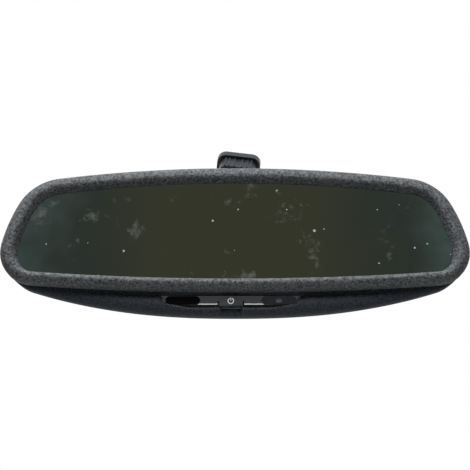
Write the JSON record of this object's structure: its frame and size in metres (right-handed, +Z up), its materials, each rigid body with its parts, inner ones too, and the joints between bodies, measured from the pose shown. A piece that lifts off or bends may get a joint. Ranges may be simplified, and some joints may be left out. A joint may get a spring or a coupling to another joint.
{
  "type": "interior rearview mirror",
  "caption": "Self-dimming interior rearview mirror: framed glass head with sensor chin and power button, on a double-ball arm with a windscreen foot.",
  "frame": {"origin": "on the foot's seat face against the windscreen button, in the middle of its flat land above the button channel", "axes": "+Z up, -Y from the mirror towards the driver, +X to the driver's right, along the head's length; the head is level and square to the axes at rest"},
  "size_m": [0.26, 0.0955, 0.116],
  "materials": {
    "zinc_cast": "die-cast zinc, as cast",
    "ring_steel": "phosphated steel",
    "screw_black": "blackened steel",
    "spring_steel": "spring strip",
    "foot_plastic": "moulded cover, satin black",
    "liner_nylon": "natural nylon",
    "ball_steel": "ground steel",
    "sleeve_plastic": "moulded sleeve, satin black",
    "grained_plastic": "fine moulded grain, charcoal",
    "glass_dimmed": "dimmed electrochromic mirror glass",
    "seal_epoxy": "epoxy seal of the mirror cell",
    "glass_rear": "rear plate of the mirror cell",
    "clip_brass": "tinned spring strip",
    "foam": "closed-cell foam tape",
    "inner_plastic": "glass-filled moulding",
    "panel_gloss": "piano black",
    "window_smoked": "smoked clear plastic",
    "window_tinted": "tinted clear plastic",
    "board_green": "solder-masked glass epoxy",
    "chip_black": "moulded epoxy packages",
    "led_lens": "diffused lamp lens",
    "switch_body": "switch can",
    "cap_sleeve": "shrink sleeve on aluminium",
    "passive_ends": "tinned chip parts",
    "light_pipe": "clear light pipe",
    "screw_zinc": "zinc-plated steel",
    "button_plastic": "fine-grained key, near black",
    "sign_white": "printed white",
    "plunger_plastic": "acetal"
  },
  "bodies": {
    "foot": {"foot_bracket": "zinc_cast", "upper_ring": "ring_steel", "set_screw": "screw_black", "channel_liner": "spring_steel", "foot_cover_left": "foot_plastic", "foot_cover_right": "foot_plastic"},
    "upper_swivel": {"upper_liner": "liner_nylon"},
    "arm": {"arm_rod": "ball_steel", "arm_sleeve": "sleeve_plastic", "upper_ball": "ball_steel", "ball_clips": "ring_steel"},
    "lower_swivel": {"lower_ball": "ball_steel"},
    "lower_gimbal": {"lower_liner": "liner_nylon"},
    "head": {"bezel": "grained_plastic", "front_glass": "glass_dimmed", "cell_seal": "seal_epoxy", "rear_glass": "glass_rear", "bus_clips": "clip_brass", "foam_pad": "foam", "carrier_plate": "inner_plastic", "rear_housing": "grained_plastic", "chin_panel": "panel_gloss", "glare_window": "window_smoked", "indicator_window": "window_tinted", "circuit_board": "board_green", "glare_sensor": "chip_black", "indicator_led": "led_lens", "tact_switch": "switch_body", "controller_chip": "chip_black", "capacitor": "cap_sleeve", "board_passives": "passive_ends", "connector_header": "inner_plastic", "connector_pins": "clip_brass", "ambient_sensor": "chip_black", "ambient_lens": "light_pipe", "board_screws": "screw_zinc", "socket_bracket": "zinc_cast", "bracket_screws": "screw_zinc", "lower_ring": "ring_steel", "housing_screws": "screw_black"},
    "button": {"power_button": "button_plastic", "button_symbol": "sign_white", "switch_plunger": "plunger_plastic"}
  },
  "joints": [
    {"name": "arm_yaw", "type": "hinge", "parent": "foot", "child": "upper_swivel", "pos_m": [-0.00258, -0.00212, -0.02104], "axis": [0, 0, 1], "range_deg": [-18, 18]},
    {"name": "arm_pitch", "type": "hinge", "parent": "upper_swivel", "child": "arm", "pos_m": [-0.00258, -0.00212, -0.02104], "axis": [1, 0, 0], "range_deg": [-18, 18]},
    {"name": "head_roll", "type": "hinge", "parent": "arm", "child": "lower_swivel", "pos_m": [-0.00258, -0.03679, -0.04813], "axis": [0, 0.788, 0.6157], "range_deg": [-15, 15]},
    {"name": "head_pitch", "type": "hinge", "parent": "lower_swivel", "child": "lower_gimbal", "pos_m": [-0.00258, -0.03679, -0.04813], "axis": [1, 0, 0], "range_deg": [-20, 20]},
    {"name": "head_yaw", "type": "hinge", "parent": "lower_gimbal", "child": "head", "pos_m": [-0.00258, -0.03679, -0.04813], "axis": [0, 0, 1], "range_deg": [-22, 22]},
    {"name": "button_press", "type": "slide", "parent": "head", "child": "button", "axis": [0, 1, 0], "range_m": [0, 0.0008], "stiffness_N_per_m": 800, "springref_m": -0.002}
  ]
}
